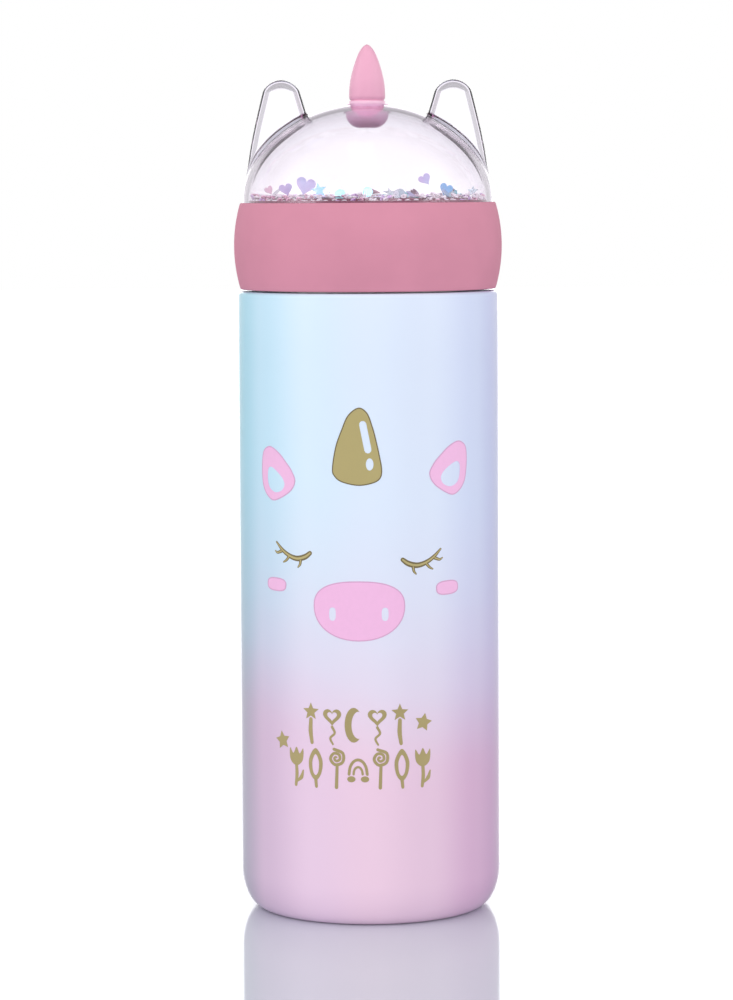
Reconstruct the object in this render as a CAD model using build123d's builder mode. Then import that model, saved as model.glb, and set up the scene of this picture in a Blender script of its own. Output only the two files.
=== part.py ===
from build123d import *
import math
import os

# Kids' vacuum-flask water bottle: a double-wall steel body with a printed face, and a screw lid that
# carries a clear dome with two hollow ears, a horn, and loose sequins and beads inside the dome.
# Millimetres. The origin is the centre of the foot, +Z is up, and the printed face looks towards -Y.

os.makedirs("parts", exist_ok=True)

# ---- Steel body ----
BODY_R = 35.0  # outside radius of the painted shell
SHEET = 0.5  # steel sheet thickness of both walls
SHOULDER_Z = 166.9  # top of the flat shoulder
SHOULDER_ROUND = 1.2  # round between shoulder and side
FOOT_R = 29.0  # outer edge of the flat foot ring
FOOT_INNER_R = 27.5  # inner edge of the foot ring, where the hem turns up
CORNER_HEIGHT = 11.0  # the bottom corner is a quarter ellipse this tall
HEM_TOP = 3.4  # top of the hem that holds the two base discs

# ---- Base discs ----
VACUUM_BASE_Z = 2.6  # underside of the inner base disc
COVER_Z = 0.9  # underside of the visible base cover
COVER_RIM = 1.4  # height of the cover's turned-up rim
COVER_RAISE = 0.5  # height of the cover's raised middle
COVER_RAISE_R = 21.0
SEAL_HOLE_R = 1.0  # evacuation hole in the middle of the inner base disc
SEAL_BEAD_R = 1.8
GETTER_R = 4.0
GETTER_HEIGHT = 1.8
GETTER_OFFSET = 13.0  # from the axis
GETTER_ROUND = 0.5

# ---- Inner liner ----
LINER_R = 32.0  # outside radius
LINER_SEAM_Z = 16.0  # weld between the liner and its bottom
LINER_FLOOR_Z = 8.5  # underside of the liner's bottom
LINER_CORNER = 6.0
LINER_ROUND = 3.0  # bends of the shoulder inside
LINER_TAPER_Z = 150.0  # start of the shoulder inside
LINER_NECK_Z = 163.0  # top of the shoulder inside
LINER_NECK_R = 25.0  # outside radius of the liner's neck

# ---- Neck and thread ----
NECK_R = 26.5  # outside radius of the threaded neck
RIM_Z = 183.0  # top of the neck
NECK_FLANGE_R = 28.5  # flange under the shoulder
RIM_ROUND = 0.4
THREAD_LEAD = 8.0  # rise in one turn
THREAD_STARTS = 2
THREAD_HEIGHT = 7.5  # height that each ridge climbs
THREAD_EMBED = 0.25  # ridge root sunk into its wall
MALE_CREST_R = 27.6
MALE_START_Z = 171.0
FEMALE_CREST_R = 27.0
FEMALE_START_Z = MALE_START_Z - THREAD_LEAD / THREAD_STARTS / 2
RIDGE_ROOT_HALF = 0.95
RIDGE_CREST_HALF = 0.45

# ---- Lid ----
LID_GAP = 0.4  # seam between collar and shoulder
COLLAR_Z = SHOULDER_Z + LID_GAP
COLLAR_TOP_Z = 190.4
COLLAR_EDGE_R = 34.25  # outside radius at the collar's two edges
COLLAR_BELLY_R = 35.93  # outside radius at mid height
COLLAR_BORE_R = 33.0
COLLAR_EDGE_ROUND = 0.5
LEDGE_TOP_Z = 188.0  # ledge that carries the dome and its floor
LEDGE_R = 30.5
LEDGE_THICKNESS = 1.2
DOME_SEAT_R = 33.7  # step in the collar's rim around the dome
CAP_WALL_R = 28.2  # inside radius of the threaded cap
CAP_WALL = 1.5
CAP_Z = COLLAR_Z + 0.3
CAP_FLANGE_R = 32.9
CAP_FLANGE_THICKNESS = 1.2
CEILING_Z = 185.4  # underside of the cap's ceiling
CEILING_TOP_Z = LEDGE_TOP_Z - LEDGE_THICKNESS
PLUG_R = 22.8  # hollow plug that dips into the neck
PLUG_Z = 176.0
PLUG_WALL = 1.4
PLUG_ROUND = 1.2
FOAM_GAP = 0.1
GASKET_INNER_R = 23.1
GASKET_OUTER_R = 27.0
GASKET_GAP = 0.1  # above and below the silicone ring
GASKET_ROUND = 0.5
FLOOR_R = 31.9
FLOOR_TOP_Z = 191.5  # raised middle of the dome's floor, above the collar's rim
GUTTER_R = 28.4  # the floor drops here to a gutter that holds beads
GUTTER_Z = 190.5

SAME_PLACE = 0.01  # tolerance for picking a corner by its coordinates

# ---- Dome, ears and horn ----
DOME_R = 33.6
DOME_HEIGHT = 26.4
DOME_WALL = 1.5
DOME_APEX_Z = COLLAR_TOP_Z + DOME_HEIGHT
# Each ear is a stack of ellipses: height above the collar, outer edge, inner edge, half depth.
EAR_SECTIONS = [
    (6.0, 31.9, 12.0, 6.0),
    (14.0, 31.2, 13.0, 5.7),
    (24.0, 29.5, 15.9, 4.5),
    (29.5, 28.0, 18.2, 3.2),
    (32.4, 25.2, 20.7, 1.3),
]
EAR_WALL = 1.3
EAR_TIP_HALF_WIDTH = 0.25  # the hollow of an ear closes to this at its tip
EAR_TIP_HALF_DEPTH = 0.2
SOCKET_R = 5.8  # blind socket under the apex that takes the horn's plug
SOCKET_DEPTH = 6.4
SOCKET_ROUND = 3.5
SOCKET_TOP_Z = DOME_APEX_Z - DOME_WALL / 2  # the socket's wall merges into the dome here
BORE_R = 4.75
BORE_DEPTH = 4.9
BORE_ROUND = 2.9
BORE_TOP_Z = DOME_APEX_Z + 1.0  # clear of the apex, so that the bore is open
PLUG_PIN_R = 4.6  # horn plug, at its top
PLUG_PIN_TIP_R = 4.1
PLUG_PIN_DEPTH = 4.7
GROOVE_Z = DOME_APEX_Z + 0.7  # groove between the plug and the horn
PLUG_SHOULDER_Z = GROOVE_Z - 0.4
GROOVE_R = 4.5
HORN_R = 4.85
HORN_TIP_Z = 232.5
# The horn's side below its tip: share of its radius, and distance below the tip.
HORN_SIDE = [(0.46, 2.3), (0.68, 5.0), (0.87, 8.2)]
HORN_BELLY_Z = GROOVE_Z + 1.0
HORN_FOOT_R = HORN_R - 0.1
HORN_FOOT_Z = HORN_BELLY_Z - 0.6
SPIGOT_R = 2.4
SPIGOT_LENGTH = 3.2

# ---- Loose pieces in the dome ----
SEQUIN = 0.2  # sequin thickness
HEART_SPREAD = 1 + math.sqrt(0.5)  # a heart's width over the side of its square
STAR_WAIST = 0.45  # a star's inner corners, as a share of its points
ROUND_HOLE = 0.25  # a round sequin's hole, as a share of its size
# Each piece: x, y, height of its middle above the floor, size, turn about Z, lean back, roll.
HEARTS = [
    (-22.0, -15.0, 2.1, 2.2, 20, 72, 15),
    (-17.0, -19.5, 3.2, 3.3, -10, 78, -12),
    (-26.2, -8.0, 1.6, 1.7, 35, 70, 25),
    (14.5, -18.0, 2.9, 2.7, 15, 65, 30),
    (20.0, -15.5, 2.1, 2.3, -20, 75, -20),
    (3.0, 12.0, 0.3, 2.6, 60, 0, 0),
    (-9.0, 20.0, 0.3, 2.4, 110, 0, 0),
]
STARS = [
    (-13.0, -22.0, 2.1, 4.2, 5, 80, 10),
    (26.0, -8.5, 1.6, 3.0, -30, 75, 0),
    (10.0, 19.0, 0.3, 3.6, 20, 0, 0),
    (-20.0, 6.0, 0.3, 3.4, 50, 0, 0),
]
ROUNDS = [
    (-8.6, -24.5, 2.0, 3.6, 0, 82, 0),
    (-3.6, -25.0, 1.7, 3.0, 10, 70, 0),
    (0.8, -22.0, 0.3, 3.2, 0, 0, 0),
    (6.5, -24.0, 0.3, 3.4, 0, 0, 0),
    (11.0, -21.8, 0.3, 3.0, 0, 0, 0),
    (0.0, 0.0, 0.3, 3.4, 0, 0, 0),
    (18.0, 8.0, 0.3, 3.2, 0, 0, 0),
]
BEAD_R = 0.72
BEAD_HOLE_R = 0.28
BEAD_LENGTH = 0.5
BEAD_CIRCLES = [(30.9, 64), (29.3, 40)]  # radius of each row of beads, and its count
BEAD_CLEARANCE = 3.2  # beads keep this far from a sequin's middle


def polar(radius, degrees):
    """A point in the XY plane."""
    return (radius * math.cos(math.radians(degrees)), radius * math.sin(math.radians(degrees)))


def thread_ridge(root_r, crest_r, start_z):
    """One helical ridge that starts at +X, with a trapezoid section from its root to its crest."""
    outward = 1 if crest_r > root_r else -1
    with BuildPart() as ridge:
        with BuildLine(Plane.XY.offset(start_z)) as path:
            Helix(pitch=THREAD_LEAD, height=THREAD_HEIGHT, radius=root_r)
        with BuildSketch(Plane(origin=path.line @ 0, x_dir=(1, 0, 0), z_dir=path.line % 0)):
            Polygon(
                (-THREAD_EMBED * outward, -RIDGE_ROOT_HALF),
                (crest_r - root_r, -RIDGE_CREST_HALF),
                (crest_r - root_r, RIDGE_CREST_HALF),
                (-THREAD_EMBED * outward, RIDGE_ROOT_HALF),
                align=None,
            )
        sweep(path=path.line, is_frenet=True)
    return ridge.part


def sequin_plane(piece):
    """The plane of one loose sequin: it leans back from the floor about its own X axis."""
    x, y, height = piece[:3]
    turn, lean, roll = piece[4:]
    frame = Plane(origin=(x, y, FLOOR_TOP_Z + height))
    return frame.rotated((0, 0, turn)).rotated((lean, 0, 0)).rotated((0, 0, roll))


# ======== Bottle body ========

# Painted outer shell: shoulder, straight side, elliptical corner, foot ring and hem.
with BuildPart() as outer_shell:
    with BuildSketch(Plane.XZ):
        with BuildLine():
            Line((NECK_R, SHOULDER_Z), (BODY_R - SHOULDER_ROUND, SHOULDER_Z))
            CenterArc((BODY_R - SHOULDER_ROUND, SHOULDER_Z - SHOULDER_ROUND), SHOULDER_ROUND, 0, 90)
            Line((BODY_R, SHOULDER_Z - SHOULDER_ROUND), (BODY_R, CORNER_HEIGHT))
            EllipticalCenterArc((FOOT_R, CORNER_HEIGHT), BODY_R - FOOT_R, CORNER_HEIGHT, 270, arc_size=90)
            Polyline(
                (FOOT_R, 0),
                (FOOT_INNER_R, 0),
                (FOOT_INNER_R, HEM_TOP),
                (FOOT_INNER_R + SHEET, HEM_TOP),
                (FOOT_INNER_R + SHEET, SHEET),
                (FOOT_R, SHEET),
            )
            EllipticalCenterArc(
                (FOOT_R, CORNER_HEIGHT), BODY_R - FOOT_R - SHEET, CORNER_HEIGHT - SHEET, 270, arc_size=90
            )
            Line((BODY_R - SHEET, CORNER_HEIGHT), (BODY_R - SHEET, SHOULDER_Z - SHOULDER_ROUND))
            CenterArc(
                (BODY_R - SHOULDER_ROUND, SHOULDER_Z - SHOULDER_ROUND), SHOULDER_ROUND - SHEET, 0, 90
            )
            Polyline(
                (BODY_R - SHOULDER_ROUND, SHOULDER_Z - SHEET),
                (NECK_R, SHOULDER_Z - SHEET),
                (NECK_R, SHOULDER_Z),
            )
        make_face()
    revolve(axis=Axis.Z)
outer_shell.part.label = "outer_shell"
export_step(outer_shell.part, "parts/outer_shell.step")

male_ridge = thread_ridge(NECK_R, MALE_CREST_R, MALE_START_Z)

# Threaded neck: welded under the shoulder, lipped in to the liner at the rim, two-start thread outside.
with BuildPart() as threaded_neck:
    with BuildSketch(Plane.XZ) as neck_section:
        with BuildLine():
            Polyline(
                (NECK_R - SHEET, SHOULDER_Z - 2 * SHEET),
                (NECK_FLANGE_R, SHOULDER_Z - 2 * SHEET),
                (NECK_FLANGE_R, SHOULDER_Z - SHEET),
                (NECK_R, SHOULDER_Z - SHEET),
                (NECK_R, RIM_Z),
                (LINER_NECK_R, RIM_Z),
                (LINER_NECK_R, RIM_Z - SHEET),
                (NECK_R - SHEET, RIM_Z - SHEET),
                close=True,
            )
        make_face()
        rim_corner = neck_section.vertices().group_by(Axis.Y)[-1].sort_by(Axis.X)[-1]
        fillet(rim_corner, RIM_ROUND)
    revolve(axis=Axis.Z)
    with PolarLocations(0, THREAD_STARTS):
        add(male_ridge)
threaded_neck.part.label = "threaded_neck"
export_step(threaded_neck.part, "parts/threaded_neck.step")

# Inner liner: straight side, coned shoulder and drinking neck.
with BuildPart() as inner_liner:
    with BuildSketch(Plane.XZ):
        with BuildLine():
            FilletPolyline(
                (LINER_R, LINER_SEAM_Z),
                (LINER_R, LINER_TAPER_Z),
                (LINER_NECK_R, LINER_NECK_Z),
                (LINER_NECK_R, RIM_Z),
                radius=LINER_ROUND,
            )
            Line((LINER_NECK_R, RIM_Z), (LINER_NECK_R - SHEET, RIM_Z))
            FilletPolyline(
                (LINER_NECK_R - SHEET, RIM_Z),
                (LINER_NECK_R - SHEET, LINER_NECK_Z - SHEET / 2),
                (LINER_R - SHEET, LINER_TAPER_Z - SHEET / 2),
                (LINER_R - SHEET, LINER_SEAM_Z),
                radius=LINER_ROUND,
            )
            Line((LINER_R - SHEET, LINER_SEAM_Z), (LINER_R, LINER_SEAM_Z))
        make_face()
    revolve(axis=Axis.Z)
inner_liner.part.label = "inner_liner"
export_step(inner_liner.part, "parts/inner_liner.step")

# Liner bottom: a drawn cup welded to the liner at its seam.
with BuildPart() as liner_bottom:
    with BuildSketch(Plane.XZ):
        with BuildLine():
            FilletPolyline(
                (0, LINER_FLOOR_Z),
                (LINER_R, LINER_FLOOR_Z),
                (LINER_R, LINER_SEAM_Z),
                radius=LINER_CORNER,
            )
            Line((LINER_R, LINER_SEAM_Z), (LINER_R - SHEET, LINER_SEAM_Z))
            FilletPolyline(
                (LINER_R - SHEET, LINER_SEAM_Z),
                (LINER_R - SHEET, LINER_FLOOR_Z + SHEET),
                (0, LINER_FLOOR_Z + SHEET),
                radius=LINER_CORNER - SHEET,
            )
            Line((0, LINER_FLOOR_Z + SHEET), (0, LINER_FLOOR_Z))
        make_face()
    revolve(axis=Axis.Z)
liner_bottom.part.label = "liner_bottom"
export_step(liner_bottom.part, "parts/liner_bottom.step")

# Inner base disc that closes the vacuum space, with its evacuation hole.
with BuildPart() as vacuum_base:
    with BuildSketch(Plane.XY.offset(VACUUM_BASE_Z)):
        Circle(FOOT_INNER_R)
        Circle(SEAL_HOLE_R, mode=Mode.SUBTRACT)
    extrude(amount=SHEET)
vacuum_base.part.label = "vacuum_base"
export_step(vacuum_base.part, "parts/vacuum_base.step")

# Solder bead that fills the evacuation hole: a stem through the disc and a round head under it.
with BuildPart() as vacuum_seal:
    with BuildSketch(Plane.XZ):
        with BuildLine():
            Polyline(
                (0, VACUUM_BASE_Z - SHEET),
                (0, VACUUM_BASE_Z + SHEET),
                (SEAL_HOLE_R, VACUUM_BASE_Z + SHEET),
                (SEAL_HOLE_R, VACUUM_BASE_Z),
                (SEAL_BEAD_R, VACUUM_BASE_Z),
            )
            EllipticalCenterArc((0, VACUUM_BASE_Z), SEAL_BEAD_R, SHEET, 270, arc_size=90)
        make_face()
    revolve(axis=Axis.Z)
vacuum_seal.part.label = "vacuum_seal"
export_step(vacuum_seal.part, "parts/vacuum_seal.step")

# Getter capsule spot-welded inside the vacuum space.
with BuildPart() as getter_capsule:
    with BuildSketch(Plane.XY.offset(VACUUM_BASE_Z + SHEET)):
        with Locations((GETTER_OFFSET, 0)):
            Circle(GETTER_R)
    extrude(amount=GETTER_HEIGHT)
    fillet(getter_capsule.faces().sort_by(Axis.Z)[-1].edges(), GETTER_ROUND)
getter_capsule.part.label = "getter_capsule"
export_step(getter_capsule.part, "parts/getter_capsule.step")

# Visible base cover: a shallow pressed pan inside the hem, with a raised middle.
with BuildPart() as base_cover:
    with BuildSketch(Plane.XZ):
        with BuildLine():
            Polyline(
                (0, COVER_Z + COVER_RAISE),
                (COVER_RAISE_R, COVER_Z + COVER_RAISE),
                (COVER_RAISE_R + 2 * COVER_RAISE, COVER_Z),
                (FOOT_INNER_R, COVER_Z),
                (FOOT_INNER_R, COVER_Z + COVER_RIM),
                (FOOT_INNER_R - SHEET, COVER_Z + COVER_RIM),
                (FOOT_INNER_R - SHEET, COVER_Z + SHEET),
                (COVER_RAISE_R + 2 * COVER_RAISE, COVER_Z + SHEET),
                (COVER_RAISE_R, COVER_Z + COVER_RAISE + SHEET),
                (0, COVER_Z + COVER_RAISE + SHEET),
                close=True,
            )
        make_face()
    revolve(axis=Axis.Z)
base_cover.part.label = "base_cover"
export_step(base_cover.part, "parts/base_cover.step")

# ======== Lid ========

female_ridge = thread_ridge(CAP_WALL_R, FEMALE_CREST_R, FEMALE_START_Z)

# Threaded inner cap: flange, threaded wall, ceiling and the hollow plug that dips into the neck.
with BuildPart() as inner_cap:
    with BuildSketch(Plane.XZ) as cap_section:
        with BuildLine():
            Polyline(
                (CAP_WALL_R, CAP_Z),
                (CAP_FLANGE_R, CAP_Z),
                (CAP_FLANGE_R, CAP_Z + CAP_FLANGE_THICKNESS),
                (CAP_WALL_R + CAP_WALL, CAP_Z + CAP_FLANGE_THICKNESS),
                (CAP_WALL_R + CAP_WALL, CEILING_Z),
                (CAP_FLANGE_R, CEILING_Z),
                (CAP_FLANGE_R, CEILING_TOP_Z),
                (PLUG_R - PLUG_WALL, CEILING_TOP_Z),
                (PLUG_R - PLUG_WALL, PLUG_Z + PLUG_WALL),
                (0, PLUG_Z + PLUG_WALL),
                (0, PLUG_Z),
                (PLUG_R, PLUG_Z),
                (PLUG_R, CEILING_Z),
                (CAP_WALL_R, CEILING_Z),
                close=True,
            )
        make_face()
        plug_corner = cap_section.vertices().filter_by(
            lambda v: abs(v.Y - PLUG_Z) < SAME_PLACE and abs(v.X - PLUG_R) < SAME_PLACE
        )
        fillet(plug_corner, PLUG_ROUND)
    revolve(axis=Axis.Z)
    with PolarLocations(0, THREAD_STARTS):
        add(female_ridge)
inner_cap.part.label = "inner_cap"
export_step(inner_cap.part, "parts/inner_cap.step")

# Foam puck inside the plug.
with BuildPart() as lid_insulation:
    with BuildSketch(Plane.XY.offset(PLUG_Z + PLUG_WALL)):
        Circle(PLUG_R - PLUG_WALL - FOAM_GAP)
    extrude(amount=CEILING_TOP_Z - PLUG_Z - PLUG_WALL)
lid_insulation.part.label = "lid_insulation"
export_step(lid_insulation.part, "parts/lid_insulation.step")

# Silicone ring between the neck's rim and the ceiling.
with BuildPart() as lid_gasket:
    with BuildSketch(Plane.XZ) as gasket_section:
        with BuildLine():
            Polyline(
                (GASKET_INNER_R, RIM_Z + GASKET_GAP),
                (GASKET_OUTER_R, RIM_Z + GASKET_GAP),
                (GASKET_OUTER_R, CEILING_Z - GASKET_GAP),
                (GASKET_INNER_R, CEILING_Z - GASKET_GAP),
                close=True,
            )
        make_face()
        fillet(gasket_section.vertices(), GASKET_ROUND)
    revolve(axis=Axis.Z)
lid_gasket.part.label = "lid_gasket"
export_step(lid_gasket.part, "parts/lid_gasket.step")

# Barrel-shaped collar with a ledge for the dome.
with BuildPart() as lid_collar:
    with BuildSketch(Plane.XZ) as collar_section:
        with BuildLine():
            Spline(
                (COLLAR_EDGE_R, COLLAR_Z),
                (COLLAR_BELLY_R, (COLLAR_Z + COLLAR_TOP_Z) / 2),
                (COLLAR_EDGE_R, COLLAR_TOP_Z),
            )
            Polyline(
                (COLLAR_EDGE_R, COLLAR_TOP_Z),
                (DOME_SEAT_R, COLLAR_TOP_Z),
                (DOME_SEAT_R, LEDGE_TOP_Z),
                (LEDGE_R, LEDGE_TOP_Z),
                (LEDGE_R, LEDGE_TOP_Z - LEDGE_THICKNESS),
                (COLLAR_BORE_R, LEDGE_TOP_Z - LEDGE_THICKNESS),
                (COLLAR_BORE_R, COLLAR_Z),
                (COLLAR_EDGE_R, COLLAR_Z),
            )
        make_face()
        outer_corners = collar_section.vertices().filter_by(
            lambda v: abs(v.X - COLLAR_EDGE_R) < SAME_PLACE
        )
        fillet(outer_corners, COLLAR_EDGE_ROUND)
    revolve(axis=Axis.Z)
lid_collar.part.label = "lid_collar"
export_step(lid_collar.part, "parts/lid_collar.step")

# Floor of the dome, resting on the collar's ledge, with a gutter round its raised middle.
with BuildPart() as dome_floor:
    with BuildSketch(Plane.XY.offset(LEDGE_TOP_Z)):
        Circle(FLOOR_R)
    extrude(amount=GUTTER_Z - LEDGE_TOP_Z)
    with BuildSketch(Plane.XY.offset(GUTTER_Z)):
        Circle(GUTTER_R)
    extrude(amount=FLOOR_TOP_Z - GUTTER_Z)
dome_floor.part.label = "dome_floor"
export_step(dome_floor.part, "parts/dome_floor.step")


def dome_solid(radius, height, mode):
    """Adds or subtracts a half ellipsoid that stands on the collar, with its skirt below."""
    with BuildSketch(Plane.XZ) as half_section:
        with BuildLine():
            Polyline(
                (0, COLLAR_TOP_Z + height), (0, LEDGE_TOP_Z), (radius, LEDGE_TOP_Z), (radius, COLLAR_TOP_Z)
            )
            EllipticalCenterArc((0, COLLAR_TOP_Z), radius, height, 0, arc_size=90)
        make_face()
    revolve(half_section.sketch, axis=Axis.Z, mode=mode)


def ear_solid(side, wall, mode):
    """Adds or subtracts one ear as a loft of ellipses, shrunk by wall."""
    top = EAR_SECTIONS[-1][0]
    bottom = EAR_SECTIONS[0][0]
    sections = []
    for height, outer, inner, depth in EAR_SECTIONS:
        drop = wall * ((height - bottom) / (top - bottom)) ** 3
        half_width = max((outer - inner) / 2 - wall, EAR_TIP_HALF_WIDTH)
        half_depth = max(depth - wall, EAR_TIP_HALF_DEPTH)
        with BuildSketch(Plane.XY.offset(COLLAR_TOP_Z + height - drop)) as slice_sketch:
            with Locations((side * (outer + inner) / 2, 0)):
                Ellipse(half_width, half_depth)
        sections.append(slice_sketch.sketch)
    loft(sections=sections, mode=mode)


# Clear dome: one moulding with two hollow ears and the horn's blind socket.
with BuildPart() as dome:
    dome_solid(DOME_R, DOME_HEIGHT, Mode.ADD)
    for side in (-1, 1):
        ear_solid(side, 0, Mode.ADD)
    dome_solid(DOME_R - DOME_WALL, DOME_HEIGHT - DOME_WALL, Mode.SUBTRACT)
    for side in (-1, 1):
        ear_solid(side, EAR_WALL, Mode.SUBTRACT)
    with BuildSketch(Plane.XZ):
        with BuildLine():
            FilletPolyline(
                (0, DOME_APEX_Z - SOCKET_DEPTH),
                (SOCKET_R, DOME_APEX_Z - SOCKET_DEPTH),
                (SOCKET_R, SOCKET_TOP_Z),
                radius=SOCKET_ROUND,
            )
            Polyline((SOCKET_R, SOCKET_TOP_Z), (0, SOCKET_TOP_Z), (0, DOME_APEX_Z - SOCKET_DEPTH))
        make_face()
    revolve(axis=Axis.Z)
    with BuildSketch(Plane.XZ):
        with BuildLine():
            FilletPolyline(
                (0, DOME_APEX_Z - BORE_DEPTH),
                (BORE_R, DOME_APEX_Z - BORE_DEPTH),
                (BORE_R, BORE_TOP_Z),
                radius=BORE_ROUND,
            )
            Polyline((BORE_R, BORE_TOP_Z), (0, BORE_TOP_Z), (0, DOME_APEX_Z - BORE_DEPTH))
        make_face()
    revolve(axis=Axis.Z, mode=Mode.SUBTRACT)
dome.part.label = "dome"
export_step(dome.part, "parts/dome.step")

# Horn plug: a tapered pin in the dome's socket, with a hole for the horn's spigot.
with BuildPart() as horn_plug:
    with BuildSketch(Plane.XZ):
        with BuildLine():
            FilletPolyline(
                (0, DOME_APEX_Z - PLUG_PIN_DEPTH),
                (PLUG_PIN_TIP_R, DOME_APEX_Z - PLUG_PIN_DEPTH),
                (PLUG_PIN_R, PLUG_SHOULDER_Z),
                radius=BORE_ROUND,
            )
            Polyline(
                (PLUG_PIN_R, PLUG_SHOULDER_Z),
                (GROOVE_R, GROOVE_Z),
                (SPIGOT_R, GROOVE_Z),
                (SPIGOT_R, GROOVE_Z - SPIGOT_LENGTH),
                (0, GROOVE_Z - SPIGOT_LENGTH),
                (0, DOME_APEX_Z - PLUG_PIN_DEPTH),
            )
        make_face()
    revolve(axis=Axis.Z)
horn_plug.part.label = "horn_plug"
export_step(horn_plug.part, "parts/horn_plug.step")

# Horn: a bullet with a chamfered foot and a spigot into the plug.
with BuildPart() as horn:
    with BuildSketch(Plane.XZ):
        with BuildLine():
            Spline(
                (0, HORN_TIP_Z),
                *[(HORN_R * share, HORN_TIP_Z - below) for share, below in HORN_SIDE],
                (HORN_R, HORN_BELLY_Z),
                tangents=((1, 0), (0, -1)),
                tangent_scalars=(0.5, 1.0),
            )
            Polyline(
                (HORN_R, HORN_BELLY_Z),
                (HORN_FOOT_R, HORN_FOOT_Z),
                (GROOVE_R, GROOVE_Z),
                (SPIGOT_R, GROOVE_Z),
                (SPIGOT_R, GROOVE_Z - SPIGOT_LENGTH),
                (0, GROOVE_Z - SPIGOT_LENGTH),
                (0, HORN_TIP_Z),
            )
        make_face()
    revolve(axis=Axis.Z)
horn.part.label = "horn"
export_step(horn.part, "parts/horn.step")

# ======== Loose pieces on the dome's floor ========

# A heart is a turned square with a round lobe on each upper side.
with BuildPart() as heart_sequins:
    for heart in HEARTS:
        side = heart[3] / HEART_SPREAD
        lobe = side / (2 * math.sqrt(2))
        with BuildSketch(sequin_plane(heart)):
            Rectangle(side, side, rotation=45)
            with Locations((-lobe, lobe), (lobe, lobe)):
                Circle(side / 2)
        extrude(amount=SEQUIN)
heart_sequins.part.label = "heart_sequins"
export_step(heart_sequins.part, "parts/heart_sequins.step")

# Five-pointed stars.
with BuildPart() as star_sequins:
    for star in STARS:
        reach = star[3] / 2
        tips = [polar(reach * (STAR_WAIST if point % 2 else 1), 90 + 36 * point) for point in range(10)]
        with BuildSketch(sequin_plane(star)):
            Polygon(*tips, align=None)
        extrude(amount=SEQUIN)
star_sequins.part.label = "star_sequins"
export_step(star_sequins.part, "parts/star_sequins.step")

# Round sequins, each with a small hole.
with BuildPart() as round_sequins:
    for disc in ROUNDS:
        with BuildSketch(sequin_plane(disc)):
            Circle(disc[3] / 2)
            Circle(disc[3] / 2 * ROUND_HOLE, mode=Mode.SUBTRACT)
        extrude(amount=SEQUIN)
round_sequins.part.label = "round_sequins"
export_step(round_sequins.part, "parts/round_sequins.step")

# Short tube beads lying in two rows in the floor's gutter, clear of the sequins.
bead_spots = []
for row_radius, count in BEAD_CIRCLES:
    for number in range(count):
        spot = polar(row_radius, 360 * number / count)
        if min(math.dist(spot, piece[:2]) for piece in HEARTS + STARS + ROUNDS) > BEAD_CLEARANCE:
            bead_spots.append(spot)

with BuildPart() as beads:
    with BuildSketch(Plane.XY.offset(GUTTER_Z)):
        with Locations(*bead_spots):
            Circle(BEAD_R)
            Circle(BEAD_HOLE_R, mode=Mode.SUBTRACT)
    extrude(amount=BEAD_LENGTH)
beads.part.label = "beads"
export_step(beads.part, "parts/beads.step")
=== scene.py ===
import random
from itertools import product
from math import ceil, copysign, cos, degrees, pi, radians, sin, sqrt

import bmesh
import bpy
import numpy as np
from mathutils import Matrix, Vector


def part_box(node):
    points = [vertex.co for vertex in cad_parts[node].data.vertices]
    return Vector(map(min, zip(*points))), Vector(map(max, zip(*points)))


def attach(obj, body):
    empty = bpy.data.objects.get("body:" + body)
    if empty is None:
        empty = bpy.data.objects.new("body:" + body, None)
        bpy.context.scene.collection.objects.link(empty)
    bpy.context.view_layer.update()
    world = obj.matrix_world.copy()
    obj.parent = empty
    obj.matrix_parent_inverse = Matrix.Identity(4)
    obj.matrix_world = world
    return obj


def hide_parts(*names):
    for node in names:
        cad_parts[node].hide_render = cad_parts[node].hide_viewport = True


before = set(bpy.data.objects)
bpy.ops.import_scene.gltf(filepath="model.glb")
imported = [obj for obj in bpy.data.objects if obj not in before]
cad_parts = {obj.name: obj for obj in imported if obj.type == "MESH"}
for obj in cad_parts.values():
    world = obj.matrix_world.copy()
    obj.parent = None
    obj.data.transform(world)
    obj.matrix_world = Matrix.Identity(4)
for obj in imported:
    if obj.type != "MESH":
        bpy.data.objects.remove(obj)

# Kids' vacuum-flask bottle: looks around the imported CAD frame. Metres, +Z up, the printed face towards -Y.

MM = 0.001
scene = bpy.context.scene
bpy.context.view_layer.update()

# ---- Driving sizes, read from the frame ----
shell_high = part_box("outer_shell")[1]
collar_low, collar_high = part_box("lid_collar")
dome_low, dome_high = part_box("dome")
horn_low, horn_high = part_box("horn")
plug_low, plug_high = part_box("horn_plug")
lid_floor_low, lid_floor_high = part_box("dome_floor")
cover_low, cover_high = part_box("base_cover")

BODY_R = shell_high.x
SHOULDER_Z = shell_high.z
COLLAR_Z = collar_low.z
COLLAR_TOP_Z = collar_high.z
COLLAR_BELLY_R = collar_high.x
DOME_R = dome_high.x
FLOOR_Z = lid_floor_high.z
FLOOR_R = lid_floor_high.x
HORN_TIP_Z = horn_high.z

# ---- Sizes that the frame's boxes don't give ----
SHEET = 0.5 * MM
FOOT_R = 29.0 * MM
FOOT_INNER_R = cover_high.x
CORNER_HEIGHT = 11.0 * MM
SHOULDER_ROUND = 1.2 * MM
NECK_R = 26.5 * MM
HEM_TOP = 3.4 * MM
COLLAR_EDGE_R = 34.25 * MM
COLLAR_ROUND = 0.5 * MM
COLLAR_BORE_R = 33.0 * MM
DOME_SEAT_R = 33.7 * MM
LEDGE_R = 30.5 * MM
LEDGE_Z = lid_floor_low.z
LEDGE_THICKNESS = 1.2 * MM
GUTTER_R, GUTTER_Z = 28.4 * MM, 190.5 * MM
# A low lip of the dark floor plastic, drawn as a painted shadow line where the dome meets the collar.
SHADOW_LINE_LIP, SHADOW_LINE_LIP_WIDTH = 0.45 * MM, 0.2 * MM
FLOOR_ROUND = 0.4 * MM
DOME_HEIGHT = 26.4 * MM
SEGMENTS = 192
ON_AXIS = 1e-7


# ======== Mesh helpers ========

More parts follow.
